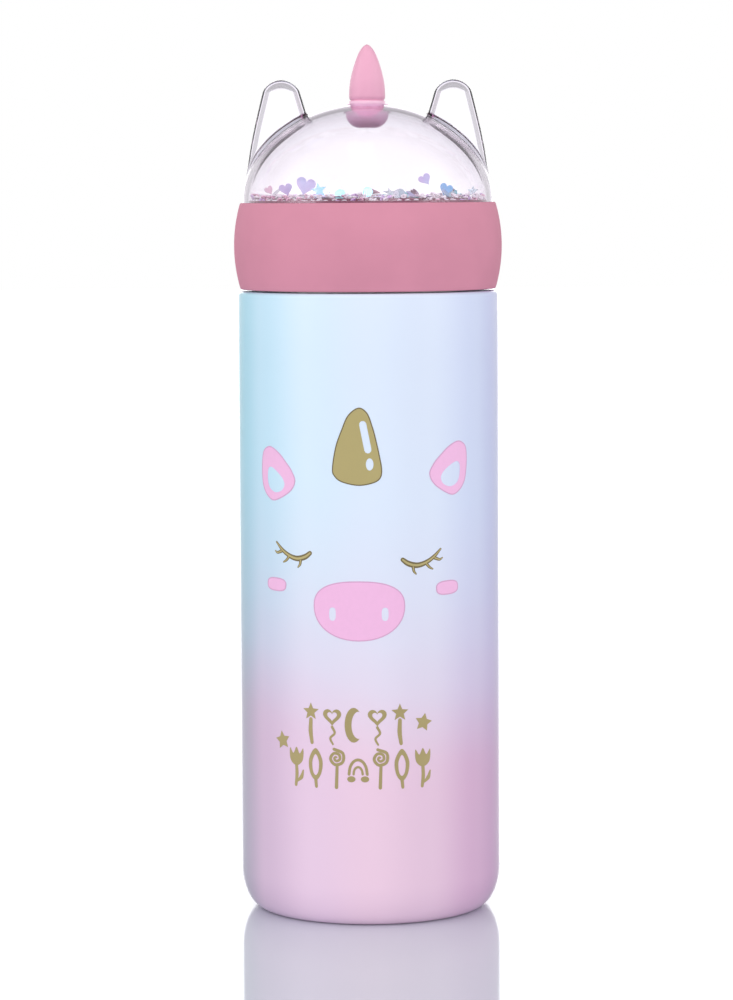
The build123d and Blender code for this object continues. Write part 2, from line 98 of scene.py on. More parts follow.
def link_object(name, data):
    """A new object in the scene."""
    made = bpy.data.objects.new(name, data)
    scene.collection.objects.link(made)
    return made


def add_object(name, mesh, body, materials, replaced=()):
    """Links a mesh as one piece that rides on a CAD body and stands for its CAD nodes."""
    piece = link_object(name, mesh)
    for material in materials:
        mesh.materials.append(material)
    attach(piece, body)
    if replaced:
        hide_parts(*replaced)


def smooth_mesh(name, vertices, faces, sharp_degrees=35):
    """A mesh with smooth faces, sharp where two faces meet at more than an angle."""
    mesh = bpy.data.meshes.new(name)
    mesh.from_pydata([tuple(v) for v in vertices], [], [tuple(f) for f in faces])
    mesh.polygons.foreach_set("use_smooth", [True] * len(mesh.polygons))
    mesh.update()
    mesh.set_sharp_from_angle(angle=radians(sharp_degrees))
    return mesh


def polar(radius, angle):
    return radius * cos(angle), radius * sin(angle)


def lathe(name, profile, segments=SEGMENTS, loop=True):
    """Turns a (radius, height) profile about Z. A loop is closed, and otherwise it runs from axis to axis."""
    vertices, rings = [], []
    for radius, height in profile:
        if radius < ON_AXIS:
            rings.append([len(vertices)] * segments)
            vertices.append((0.0, 0.0, height))
            continue
        rings.append(list(range(len(vertices), len(vertices) + segments)))
        vertices += [(*polar(radius, 2 * pi * step / segments), height) for step in range(segments)]
    faces = []
    pairs = list(zip(rings, rings[1:])) + ([(rings[-1], rings[0])] if loop else [])
    for low, high in pairs:
        for step in range(segments):
            after = (step + 1) % segments
            corners = [low[step], low[after], high[after], high[step]]
            face = [c for place, c in enumerate(corners) if c not in corners[:place]]
            if len(face) > 2:
                faces.append(face)
    return smooth_mesh(name, vertices, faces)


def arc(centre, radii, start, end, count):
    """Points of a round or elliptical arc in the (radius, height) plane, angles in degrees."""
    if isinstance(radii, float):
        radii = (radii, radii)
    points = []
    for step in range(count + 1):
        angle = radians(start + (end - start) * step / count)
        points.append((centre[0] + radii[0] * cos(angle), centre[1] + radii[1] * sin(angle)))
    return points


def through(points, per_span=8, closed=False):
    """A smooth Catmull-Rom line through a few points."""
    points = [Vector(point) for point in points]
    if closed:
        padded = points[-1:] + points + points[:2]
    else:
        padded = [points[0] * 2 - points[1], *points, points[-1] * 2 - points[-2]]
    line = []
    for a, b, c, d in zip(padded, padded[1:], padded[2:], padded[3:]):
        for step in range(per_span):
            t = step / per_span
            line.append(0.5 * ((2 * b) + (c - a) * t + (2 * a - 5 * b + 4 * c - d) * t ** 2
                               + (3 * b - 3 * c + d - a) * t ** 3))
    return line if closed else line + points[-1:]


# ======== Materials ========

NOISE_RANGE = (0.3, 0.7)  # where most of a noise pattern's values lie


def material(name, **settings):
    """A Principled material, its node tree and its shader. Settings are socket names with underscores."""
    made = bpy.data.materials.new(name)
    made.use_nodes = True
    shader = made.node_tree.nodes["Principled BSDF"]
    for socket, value in settings.items():
        feed(made.node_tree, shader.inputs[socket.replace("_", " ")], value)
    return made, made.node_tree, shader


def feed(tree, socket, value):
    """Gives a socket a number, a colour or another node's output."""
    if isinstance(value, (int, float)):
        socket.default_value = value
    elif isinstance(value, tuple):
        socket.default_value = (*value, 1.0)
    else:
        tree.links.new(value, socket)


def add_node(tree, kind, **settings):
    """A new node. Settings that start with in_ are inputs, and the others are the node's own."""
    made = tree.nodes.new(kind)
    for key, value in settings.items():
        if key.startswith("in_"):
            feed(tree, made.inputs[key[3:].replace("_", " ")], value)
        else:
            setattr(made, key, value)
    return made


def object_place(tree):
    return tree.nodes.new("ShaderNodeTexCoord").outputs["Object"]


def noise(tree, scale, detail):
    """Noise over the object's own metres."""
    made = add_node(tree, "ShaderNodeTexNoise", in_Scale=scale, in_Detail=detail)
    feed(tree, made.inputs["Vector"], object_place(tree))
    return made.outputs["Fac"]


def remap(tree, value, low, high, out_low=0.0, out_high=1.0, smooth=False):
    """Stretches one range of a value on to another."""
    made = add_node(tree, "ShaderNodeMapRange", interpolation_type="SMOOTHSTEP" if smooth else "LINEAR",
                    in_Value=value, in_From_Min=low, in_From_Max=high, in_To_Min=out_low, in_To_Max=out_high)
    return made.outputs["Result"]


def ramp(tree, value, stops, interpolation="EASE"):
    """A colour ramp with (position, colour) stops in linear colour."""
    made = add_node(tree, "ShaderNodeValToRGB", in_Fac=value)
    elements = made.color_ramp.elements
    elements.remove(elements[-1])
    for place, (position, colour) in enumerate(stops):
        element = elements[0] if place == 0 else elements.new(position)
        element.position = position
        element.color = (*colour, 1.0)
    made.color_ramp.interpolation = interpolation
    return made.outputs["Color"]


def mix(tree, factor, first, second, kind="RGBA"):
    """A mix of two colours or, as FLOAT, of two numbers."""
    made = add_node(tree, "ShaderNodeMix", data_type=kind)
    sockets, result = ((0, 6, 7), 2) if kind == "RGBA" else ((0, 2, 3), 0)
    for socket, value in zip(sockets, (factor, first, second)):
        feed(tree, made.inputs[socket], value)
    return made.outputs[result]


def calculate(tree, operation, *values):
    """The result of a Math node."""
    made = add_node(tree, "ShaderNodeMath", operation=operation)
    for socket, value in zip(made.inputs, values):
        feed(tree, socket, value)
    return made.outputs["Value"]


def bump(tree, shader, height, strength, distance):
    made = add_node(tree, "ShaderNodeBump", in_Strength=strength, in_Distance=distance, in_Height=height)
    feed(tree, shader.inputs["Normal"], made.outputs["Normal"])


def mottle(tree, shader, pattern, first, second, low=0.35, high=0.65):
    """Takes the base colour from one tone to another as a pattern rises."""
    share = remap(tree, pattern, low, high)
    feed(tree, shader.inputs["Base Color"], mix(tree, share, first, second))


def vary_gloss(tree, shader, pattern, least, most):
    """Takes the roughness from one value to another as a pattern rises."""
    feed(tree, shader.inputs["Roughness"], remap(tree, pattern, *NOISE_RANGE, least, most))


def scaled(colour, share):
    return tuple(c * share for c in colour)


def srgb(red, green, blue):
    """A linear colour from 8-bit display values."""
    return tuple(((c / 255 + 0.055) / 1.055) ** 2.4 if c > 10 else c / 255 / 12.92
                 for c in (red, green, blue))


# Paint colours over and under the change to pink, by share of the way from left to right. The stops at both
# ends are also darker, as painted shade at the body's left and right edges.
PAINT_ACROSS = (0.0, 0.1, 0.28, 0.5, 0.72, 0.9, 1.0)
PAINT_AND_EDGE_SHADE_UPPER = ((138, 208, 228), (194, 228, 245), (216, 235, 250), (221, 233, 250), (219, 229, 247),
               (208, 217, 243), (184, 189, 231))
PAINT_AND_EDGE_SHADE_LOWER = ((166, 155, 179), (216, 187, 213), (234, 204, 227), (238, 205, 225), (230, 197, 219),
               (214, 173, 205), (196, 144, 190))
# The pink comes in down the wall between these heights, by share of the way down, and higher up at the left.
PINK_FROM, PINK_TO = 112 * MM, 36 * MM
PINK_FALL = [(0.0, 0.0), (0.37, 0.2), (0.53, 0.36), (0.7, 0.58), (0.87, 0.88), (1.0, 1.0)]
PINK_SAG = -15 * MM
PINK_DRIFT = 1.5 * MM


def body_paint():
    """Sprayed gradient: aqua to pale blue to lavender across the top, pink below, with painted shade
    darkening the left and right edges.
    """
    made, tree, shader = material("body_paint", Roughness=0.3, Coat_Weight=0.7, Coat_Roughness=0.06)
    split = add_node(tree, "ShaderNodeSeparateXYZ", in_Vector=object_place(tree))
    across = remap(tree, split.outputs["X"], -BODY_R, BODY_R)
    upper, lower = (ramp(tree, across, [(at, srgb(*colour)) for at, colour in zip(PAINT_ACROSS, colours)])
                    for colours in (PAINT_AND_EDGE_SHADE_UPPER, PAINT_AND_EDGE_SHADE_LOWER))
    drift = remap(tree, noise(tree, 18.0, 1.0), *NOISE_RANGE, -PINK_DRIFT, PINK_DRIFT)
    sag = remap(tree, split.outputs["X"], 0.1 * BODY_R, -BODY_R, 0.0, PINK_SAG)
    height = split.outputs["Z"]
    for change in (drift, sag):
        height = calculate(tree, "ADD", height, change)
    fall = remap(tree, height, PINK_FROM, PINK_TO)
    pink_share = ramp(tree, fall, [(at, (share, share, share)) for at, share in PINK_FALL], "CARDINAL")
    feed(tree, shader.inputs["Base Color"], mix(tree, pink_share, upper, lower))
    return made


def moulded(name, colour, roughness, grain=0.08, coat=0.0, shine=0.5):
    """Moulded plastic with a fine texture and slight colour and gloss variation."""
    made, tree, shader = material(name, Coat_Weight=coat, Coat_Roughness=0.08, Specular_IOR_Level=shine)
    mottle(tree, shader, noise(tree, 60.0, 3.0), scaled(colour, 0.94), colour)
    fine = noise(tree, 2600.0, 2.0)
    vary_gloss(tree, shader, fine, roughness - 0.04, roughness + 0.05)
    bump(tree, shader, fine, grain, 0.04 * MM)
    return made


def ink(name, colour, roughness, metallic=0.0):
    """Screen-printed ink with slightly uneven cover."""
    made, tree, shader = material(name, Metallic=metallic, Coat_Weight=0.35, Coat_Roughness=0.12)
    cover = noise(tree, 900.0, 4.0)
    mottle(tree, shader, cover, scaled(colour, 0.985), colour, 0.4, 0.6)
    vary_gloss(tree, shader, cover, roughness - 0.05, roughness + 0.06)
    bump(tree, shader, cover, 0.06, 0.02 * MM)
    return made


def steel(name, colour, roughness, streaks):
    """Bare steel with fine turned streaks round the axis."""
    made, tree, shader = material(name, Metallic=1.0)
    stretch = add_node(tree, "ShaderNodeMapping", in_Vector=object_place(tree))
    stretch.inputs["Scale"].default_value = (40.0, 40.0, streaks)
    brushed = add_node(tree, "ShaderNodeTexNoise", in_Scale=1.0, in_Detail=5.0,
                       in_Vector=stretch.outputs["Vector"]).outputs["Fac"]
    feed(tree, shader.inputs["Base Color"], mix(tree, brushed, scaled(colour, 0.82), colour))
    vary_gloss(tree, shader, brushed, roughness - 0.06, roughness + 0.1)
    bump(tree, shader, brushed, 0.12, 0.03 * MM)
    return made


def clear_plastic():
    """Clear polished plastic, faintly pink where it is thick, that lets lamps through."""
    made, tree, shader = material(
        "clear_plastic", Base_Color=(1.0, 1.0, 1.0), Roughness=0.0, IOR=1.5, Transmission_Weight=1.0)
    open_shader = add_node(tree, "ShaderNodeBsdfTransparent", in_Color=(0.97, 0.96, 0.98))
    rays = tree.nodes.new("ShaderNodeLightPath").outputs
    join = tree.nodes.new("ShaderNodeMixShader")
    either = calculate(tree, "MAXIMUM", rays["Is Shadow Ray"], rays["Is Diffuse Ray"])
    for socket, value in zip(join.inputs, (either, shader.outputs["BSDF"], open_shader.outputs["BSDF"])):
        feed(tree, socket, value)
    depth = add_node(tree, "ShaderNodeVolumeAbsorption", in_Color=(0.87, 0.68, 0.86), in_Density=140.0)
    output = tree.nodes["Material Output"]
    feed(tree, output.inputs["Surface"], join.outputs["Shader"])
    feed(tree, output.inputs["Volume"], depth.outputs["Volume"])
    bump(tree, shader, noise(tree, 45.0, 1.0), 0.05, 0.2 * MM)
    return made


def film(name, colour, clear):
    """Iridescent sequin film with slight streaks of colour."""
    made, tree, shader = material(
        name, Roughness=0.18, Metallic=0.25, Coat_Weight=0.6, Coat_Roughness=0.04,
        Transmission_Weight=clear, Thin_Film_Thickness=380.0, Thin_Film_IOR=1.45)
    shifted = (colour[0] * 0.86, min(colour[1] * 1.08, 1.0), min(colour[2] * 1.02, 1.0))
    mottle(tree, shader, noise(tree, 260.0, 1.0), colour, shifted)
    return made


# Body paint, which also carries painted shade at its left and right edges.
PAINT_AND_EDGE_SHADE = body_paint()
GOLD = ink("gold_ink", srgb(196, 180, 122), 0.42, metallic=0.55)
GOLD_EDGE = ink("gold_ink_edge", srgb(122, 108, 74), 0.42, metallic=0.4)
GOLD_PRINT = ink("gold_ink_print", srgb(184, 167, 116), 0.42, metallic=0.55)
PINK_INK = ink("pink_ink", srgb(243, 187, 226), 0.35)
PINK_EDGE = ink("pink_ink_edge", srgb(218, 164, 202), 0.35)
COLLAR_PINK = moulded("collar_pink", srgb(215, 144, 165), 0.72, shine=0.15)
# Dome floor plastic, darker than the collar's pink as painted shade under the dome.
SHADED_FLOOR_PINK = moulded("floor_pink", srgb(142, 62, 92), 0.25, grain=0.03, coat=0.4)
HORN_PINK = moulded("horn_pink", srgb(240, 175, 201), 0.36, grain=0.03, coat=0.12)
PLUG_PINK = moulded("plug_pink", srgb(255, 208, 230), 0.36, grain=0.03, coat=0.12)
CAP_WHITE = moulded("cap_plastic", srgb(240, 236, 236), 0.38)
FOAM = moulded("foam", srgb(232, 228, 214), 0.8, grain=0.5)
SILICONE = moulded("silicone", srgb(236, 236, 232), 0.5)
BARE_STEEL = steel("bare_steel", (0.62, 0.61, 0.6), 0.3, 2600.0)
BASE_STEEL = steel("base_steel", (0.6, 0.59, 0.59), 0.36, 900.0)
SOLDER = steel("solder", (0.42, 0.42, 0.43), 0.5, 400.0)
CLEAR = clear_plastic()
BEADS = [moulded("bead_" + name, srgb(*colour), 0.15, grain=0.02, coat=0.6) for name, colour in (
    ("pearl", (255, 248, 252)), ("rose", (248, 196, 218)), ("lilac", (222, 180, 236)))]
FILMS = {name: film("film_" + name, srgb(*colour), clear) for name, colour, clear in (
    ("lavender", (218, 200, 244), 0.0), ("aqua", (168, 232, 242), 0.0), ("blue", (150, 192, 246), 0.0),
    ("pink", (244, 204, 222), 0.0), ("clear", (238, 236, 248), 0.6))}


# ======== Carried-over CAD nodes ========
# A CAD node whose shape is right keeps its mesh and gets a better material.

for made, carried in (
    (BARE_STEEL, ("threaded_neck", "inner_liner", "liner_bottom", "vacuum_base")),
    (SOLDER, ("getter_capsule", "vacuum_seal")),
    (CAP_WHITE, ("inner_cap",)), (FOAM, ("lid_insulation",)), (SILICONE, ("lid_gasket",)),
):
    for node in carried:
        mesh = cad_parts[node].data
        mesh.materials.clear()
        mesh.materials.append(made)


# ======== Body ========

def make_shell():
    """Painted shell: shoulder, straight side, elliptical corner, foot ring and hem."""
    edge = BODY_R - SHOULDER_ROUND
    top = SHOULDER_Z - SHOULDER_ROUND
    straight = [(BODY_R, top + (CORNER_HEIGHT - top) * step / 12) for step in range(1, 12)]
    outside = [(NECK_R, SHOULDER_Z)] + arc((edge, top), SHOULDER_ROUND, 90, 0, 8) + straight
    outside += arc((FOOT_R, CORNER_HEIGHT), (BODY_R - FOOT_R, CORNER_HEIGHT), 0, -90, 24)
    foot = [(FOOT_INNER_R, 0.0), (FOOT_INNER_R, HEM_TOP), (FOOT_INNER_R + SHEET, HEM_TOP),
            (FOOT_INNER_R + SHEET, SHEET)]
    inside = arc((FOOT_R, CORNER_HEIGHT), (BODY_R - FOOT_R - SHEET, CORNER_HEIGHT - SHEET), -90, 0, 16)
    inner_round = SHOULDER_ROUND - SHEET
    inside += arc((edge, top), inner_round, 0, 90, 6) + [(NECK_R, SHOULDER_Z - SHEET)]
    mesh = lathe("painted_shell", (outside + foot + inside)[::-1])
    add_object("painted_shell", mesh, "bottle", [PAINT_AND_EDGE_SHADE], ["outer_shell"])


def make_cover():
    """Pressed base cover with a raised middle and rounded bends."""
    low, rim = cover_low.z, cover_high.z
    raised_r, slope, raise_by = 21.0 * MM, 1.0 * MM, 0.5 * MM
    middle = low + raise_by
    under = [(0.0, middle), (raised_r, middle), (raised_r + slope, low), (FOOT_INNER_R, low)]
    over = [(FOOT_INNER_R, rim), (FOOT_INNER_R - SHEET, rim), (FOOT_INNER_R - SHEET, low + SHEET),
            (raised_r + slope, low + SHEET), (raised_r, middle + SHEET), (0.0, middle + SHEET)]
    mesh = lathe("base_pan", under + over, loop=False)
    add_object("base_pan", mesh, "bottle", [BASE_STEEL], ["base_cover"])


make_shell()
make_cover()


# ======== Printed face and motifs ========
# Artwork is drawn flat, with u along the wall from the middle of the face and v the height, both in
# millimetres, then wrapped on the shell as a thin skin of ink.

INK_LIFT = 0.045 * MM
INK_SINK = 0.03 * MM
INK_SINK = 0.03 * MM
WRAP_STEP = 1.0  # longest span of ink along u before it is split, in millimetres
MERGE_WITHIN, CUT_WITHIN = 1e-4, 1e-5
RIM_LIFT = 0.06 * MM
RIM_WIDTH = 0.3  # darker line along the printed shapes, in millimetres


def on_wall(u, v, lift):
    angle = u * MM / BODY_R
    radius = BODY_R + lift
    return (radius * sin(angle), -radius * cos(angle), v * MM)


def fill(outlines):
    """Triangles of a flat outline with holes, as a Blender mesh in (u, v)."""
    data = bpy.data.curves.new("outline", "CURVE")
    data.dimensions = "2D"
    data.fill_mode = "BOTH"
    for outline in outlines:
        spline = data.splines.new("POLY")
        spline.points.add(len(outline) - 1)
        for point, (u, v) in zip(spline.points, outline):
            point.co = (u, v, 0.0, 1.0)
        spline.use_cyclic_u = True
    holder = link_object("outline", data)
    depsgraph = bpy.context.evaluated_depsgraph_get()
    flat = bpy.data.meshes.new_from_object(holder.evaluated_get(depsgraph))
    bpy.data.objects.remove(holder)
    return flat


def wrapped(name, flats, lift):
    """One closed skin of ink on the shell from flat meshes."""
    vertices, faces = [], []
    for flat in flats:
        work = bmesh.new()
        work.from_mesh(flat)
        bmesh.ops.remove_doubles(work, verts=work.verts, dist=MERGE_WITHIN)
        us = [v.co.x for v in work.verts]
        cut = ceil(min(us) / WRAP_STEP) * WRAP_STEP
        while cut < max(us):
            everything = work.verts[:] + work.edges[:] + work.faces[:]
            bmesh.ops.bisect_plane(
                work, geom=everything, dist=CUT_WITHIN, plane_co=(cut, 0, 0), plane_no=(1, 0, 0))
            cut += WRAP_STEP
        bmesh.ops.recalc_face_normals(work, faces=work.faces)
        if work.faces and sum(f.normal.z for f in work.faces) < 0:
            bmesh.ops.reverse_faces(work, faces=work.faces)
        work.verts.index_update()
        base, count = len(vertices), len(work.verts)
        vertices += [on_wall(v.co.x, v.co.y, level) for level in (lift, -INK_SINK) for v in work.verts]
        for face in work.faces:
            corner = [v.index + base for v in face.verts]
            faces.append(corner)
            faces.append([c + count for c in reversed(corner)])
        for edge in work.edges:
            if len(edge.link_loops) == 1:
                loop = edge.link_loops[0]
                a, b = loop.vert.index + base, loop.link_loop_next.vert.index + base
                faces.append([b, a, a + count, b + count])
        work.free()
    return smooth_mesh(name, vertices, faces, 40)


def print_on_wall(name, flats, colour, lift=INK_LIFT):
    add_object(name, wrapped(name, flats, lift), "bottle", [colour])


def placed(points, centre, mirror=False, tilt=0.0):
    """Local outline points moved to their centre, mirrored and turned first."""
    turn = radians(tilt)
    moved = []
    for u, v in points:
        u = -u if mirror else u
        moved.append((centre[0] + u * cos(turn) - v * sin(turn),
                      centre[1] + u * sin(turn) + v * cos(turn)))
    return moved[::-1] if mirror else moved


def oval(centre, half_width, half_height, tilt=0.0, count=28, squareness=2.0):
    """A superellipse outline."""
    points = []
    for step in range(count):
        angle = 2 * pi * step / count
        c, s = cos(angle), sin(angle)
        points.append((half_width * copysign(abs(c) ** (2 / squareness), c),
                       half_height * copysign(abs(s) ** (2 / squareness), s)))
    return placed(points, centre, tilt=tilt)


def loop_through(points):
    """A closed smooth outline through a few points."""
    return [(p.x, p.y) for p in through(points, 6, closed=True)]


def stroke(points, widths, per_span=8):
    """A pen stroke as a flat outline: a smooth line with a width at each point and round ends."""
    line = through(points, per_span)
    count = len(line) - 1
    left, right = [], []
    for place, point in enumerate(line):
        ahead = line[min(place + 1, count)] - line[max(place - 1, 0)]
        side = Vector((-ahead.y, ahead.x)).normalized()
        where = place / count * (len(widths) - 1)
        low = min(int(where), len(widths) - 2)
        half = (widths[low] + (widths[low + 1] - widths[low]) * (where - low)) / 2
        left.append(point + side * half)
        right.append(point - side * half)
    ends = []
    for tip, before, a, b in ((line[-1], line[-2], left[-1], right[-1]),
                              (line[0], line[1], right[0], left[0])):
        half = (a - b).length / 2
        along = (tip - before).normalized()
        across = (a - b).normalized()
        ends.append([tip + across * half * cos(t) + along * half * sin(t)
                     for t in (pi * part / 5 for part in range(1, 5))])
    outline = left + ends[0] + right[::-1] + ends[1]
    return [(p.x, p.y) for p in outline]


def star(centre, radius, tilt=0.0, waist=0.45):
    points = []
    for point in range(10):
        angle = radians(90 + tilt + 36 * point)
        reach = radius * (1.0 if point % 2 == 0 else waist)
        u, v = polar(reach, angle)
        points.append((centre[0] + u, centre[1] + v))
    return points


def heart(centre, width, steps=36):
    """A heart outline by formula."""
    points = []
    for step in range(steps):
        t = 2 * pi * step / steps
        u = 16 * sin(t) ** 3 / 32 * width
        v = (13 * cos(t) - 5 * cos(2 * t) - 2 * cos(3 * t) - cos(4 * t)) / 32 * width
        points.append((u, v))
    return placed(points, centre)


HORN_OUTLINE = [(-9.8, 121.4), (-8.9, 127.0), (-7.3, 131.5), (-5.5, 135.4), (-2.7, 137.4), (-0.4, 136.0),
                (1.0, 132.4), (2.0, 128.6), (2.9, 124.4), (3.4, 121.2), (3.0, 119.0), (1.2, 117.7),
                (-2.8, 117.0), (-7.2, 117.9), (-9.2, 119.4)]
EAR_OUTLINE = [(3.0, 7.1), (5.5, 5.9), (6.2, 3.3), (6.0, -0.9), (5.2, -3.9), (3.2, -6.2), (0.3, -7.0),
               (-4.6, -4.3), (-6.3, -1.3), (-5.1, 1.4), (-3.1, 3.5), (-0.3, 5.8)]
EAR_CUT = [(2.4, 1.7), (3.5, 0.9), (3.5, -1.7), (2.6, -3.8), (0.4, -4.8), (-1.9, -4.1), (-2.8, -2.4),
           (-1.9, -0.7), (0.5, 1.0)]
SNOUT_CENTRE = (-2.9, 85.3)
SNOUT_HALF_WIDTH, SNOUT_UP, SNOUT_DOWN = 12.25, 6.7, 9.1
# The left closed eye about its own middle: lid line, then three lashes, each with its widths.
EYE_STROKES = [
    ([(5.45, 0.4), (4.0, -0.6), (2.0, -1.15), (0.35, -1.0), (-1.5, -0.3), (-3.4, 0.9), (-5.45, 2.8)],
     [1.0, 1.25, 1.25, 1.15, 1.0, 0.85, 0.45]),
    ([(-3.7, 0.5), (-5.1, 0.05), (-6.0, 0.45)], [0.8, 0.6, 0.3]),
    ([(-1.2, -0.9), (-2.0, -1.8), (-3.0, -2.35)], [0.7, 0.6, 0.35]),
    ([(2.6, -1.6), (2.4, -2.7), (1.8, -3.45)], [0.75, 0.6, 0.35]),
]
LEFT_EYE, RIGHT_EYE = (-21.6, 98.7), (14.2, 97.1)
LASH_WEIGHT, LASH_CORE = 1.2, 0.45  # widths of the dark line and of the gold on it


def snout():
    """An egg with a flat top, as two half superellipses."""
    above = oval(SNOUT_CENTRE, SNOUT_HALF_WIDTH, SNOUT_UP, count=48, squareness=2.5)[:25]
    below = oval(SNOUT_CENTRE, SNOUT_HALF_WIDTH, SNOUT_DOWN, count=48, squareness=2.1)[25:]
    return above + below


def rim(outline, width):
    """A thin line along an outline, as a ring between the outline and one drawn inside it."""
    count = len(outline)
    area = sum(outline[i - 1][0] * outline[i][1] - outline[i][0] * outline[i - 1][1] for i in range(count))
    inner = []
    for place, (u, v) in enumerate(outline):
        before, after = Vector(outline[place - 1]), Vector(outline[(place + 1) % count])
        along = (after - before).normalized() * copysign(1, area)
        inner.append((u - along.y * width, v + along.x * width))
    return [outline, inner]


def make_face():
    gold, gold_rims, pink, pink_rims = [], [], [], []
    horn = loop_through(HORN_OUTLINE)
    slot_line = stroke([(-1.6, 133.0), (-0.3, 126.4)], [1.9, 1.9])
    gold.append(fill([horn, slot_line, oval((0.15, 122.6), 1.0, 1.6)]))
    gold_rims.append(horn)
    for centre, mirror, tilt in (((-26.7, 119.4), True, -4.0), ((22.6, 121.0), False, 0.0)):
        ear = loop_through(placed(EAR_OUTLINE, centre, mirror, tilt))
        pink.append(fill([ear, loop_through(placed(EAR_CUT, centre, mirror, tilt))]))
        pink_rims.append(ear)
    nostrils = [oval((u, 83.3), 0.92, 1.75, squareness=2.8) for u in (-9.9, 4.0)]
    pink.append(fill([snout(), *nostrils]))
    cheeks = [oval((-27.2, 90.3), 3.5, 1.8, tilt=-2, squareness=2.8),
              oval((21.8, 89.6), 3.6, 1.9, tilt=3, squareness=2.8)]
    pink += [fill([cheek]) for cheek in cheeks]
    pink_rims += [snout(), *cheeks]
    lashes = []
    for centre, mirror in ((LEFT_EYE, False), (RIGHT_EYE, True)):
        for points, widths in EYE_STROKES:
            widths = widths[::-1] if mirror else widths
            line = placed(points, centre, mirror)
            lashes.append(fill([stroke(line, [width * LASH_WEIGHT for width in widths])]))
            gold.append(fill([stroke(line, [width * LASH_CORE for width in widths])]))
    edges = [fill(rim(outline, RIM_WIDTH)) for outline in gold_rims]
    print_on_wall("face_lashes", lashes, GOLD_EDGE, INK_LIFT / 2)
    print_on_wall("face_gold", gold, GOLD)
    print_on_wall("face_gold_rim", edges, GOLD_EDGE, RIM_LIFT)
    print_on_wall("face_pink", pink, PINK_INK)
    edges = [fill(rim(outline, RIM_WIDTH)) for outline in pink_rims]
    print_on_wall("face_pink_rim", edges, PINK_EDGE, RIM_LIFT)


# ---- Motifs in two rows under the face, each drawn in a cell about 4.5 wide and 10 tall ----

def wand():
    return [star((0, 3.2), 2.4), stroke([(0.0, 1.2), (-0.1, -2.0), (0.3, -5.0)], [1.0, 1.2, 0.9])]


def balloon():
    ring = [heart((0, 2.2), 5.0), heart((0, 2.3), 2.7)]
    return [ring, stroke([(0.0, -0.6), (0.7, -2.2), (-0.5, -3.6), (0.2, -5.2)], [0.7, 0.6, 0.6, 0.5])]


def moon():
    outer = [(2.4 * cos(t) - 0.2, 4.6 * sin(t)) for t in np.linspace(0.9, 2 * pi - 0.9, 24)]
    inner = [(1.9 * cos(t) + 1.1, 3.6 * sin(t)) for t in np.linspace(2 * pi - 1.25, 1.25, 20)]
    return [[outer + inner]]


def tulip():
    cup = loop_through([(-2.1, 4.6), (-1.0, 3.2), (0, 4.9), (1.0, 3.2), (2.1, 4.6), (1.9, 1.4), (0, 0.0),
                        (-1.9, 1.4)])
    stem = stroke([(0, 0.2), (0.1, -2.4), (-0.2, -5.2)], [0.9, 1.0, 0.8])
    return [cup, stem, stroke([(0.2, -4.2), (1.5, -3.0), (2.1, -1.2)], [0.5, 1.1, 0.4])]


def leaf():
    blade = [loop_through([(0, 5.0), (1.9, 2.0), (1.6, -1.6), (0, -3.6), (-1.6, -1.6), (-1.9, 2.0)]),
             loop_through([(0, 3.4), (0.95, 1.5), (0.8, -1.1), (0, -2.2), (-0.8, -1.1), (-0.95, 1.5)])]
    return [blade, stroke([(0, -3.2), (0.2, -5.2)], [0.9, 0.8])]


def lollipop():
    swirl = [(0.25 * t * cos(1.5 * t), 2.6 + 0.25 * t * sin(1.5 * t))
             for t in np.linspace(0.8, 9.6, 12)]
    return [stroke(swirl, [0.5, 0.7, 0.8, 0.8], 4), stroke([(0.2, 0.4), (0.0, -5.2)], [0.8, 0.9])]


def rainbow():
    bands = []
    for reach, width in ((2.4, 0.75), (1.2, 0.6)):
        line = [(reach * cos(t), 1.6 * reach * sin(t) - 1.6) for t in np.linspace(pi, 0, 7)]
        bands.append(stroke(line, [width, width], 4))
    return bands + [oval((-1.8, -2.9), 1.1, 0.8), oval((1.8, -2.9), 1.1, 0.8)]


# Each row of motifs: what is drawn, then the first cell's middle and the step between cells, in millimetres.
MOTIF_ROWS = [
    ([wand, balloon, moon, balloon, wand], (-16.2, 54.1), 6.0),
    ([tulip, leaf, lollipop, rainbow, lollipop, leaf, tulip], (-20.7, 42.7), 5.8),
]


def make_motifs():
    flats = [fill([star((-25.3, 49.0), 2.5, 10, 0.52)]), fill([star((14.3, 54.4), 2.5, -12, 0.52)])]
    for draws, (first, height), spacing in MOTIF_ROWS:
        for place, draw in enumerate(draws):
            for shape in draw():
                outlines = shape if isinstance(shape[0], list) else [shape]
                centre = (first + spacing * place, height)
                flats.append(fill([placed(outline, centre) for outline in outlines]))
    print_on_wall("motifs_gold", flats, GOLD_PRINT)


make_face()
make_motifs()


# ======== Lid ========

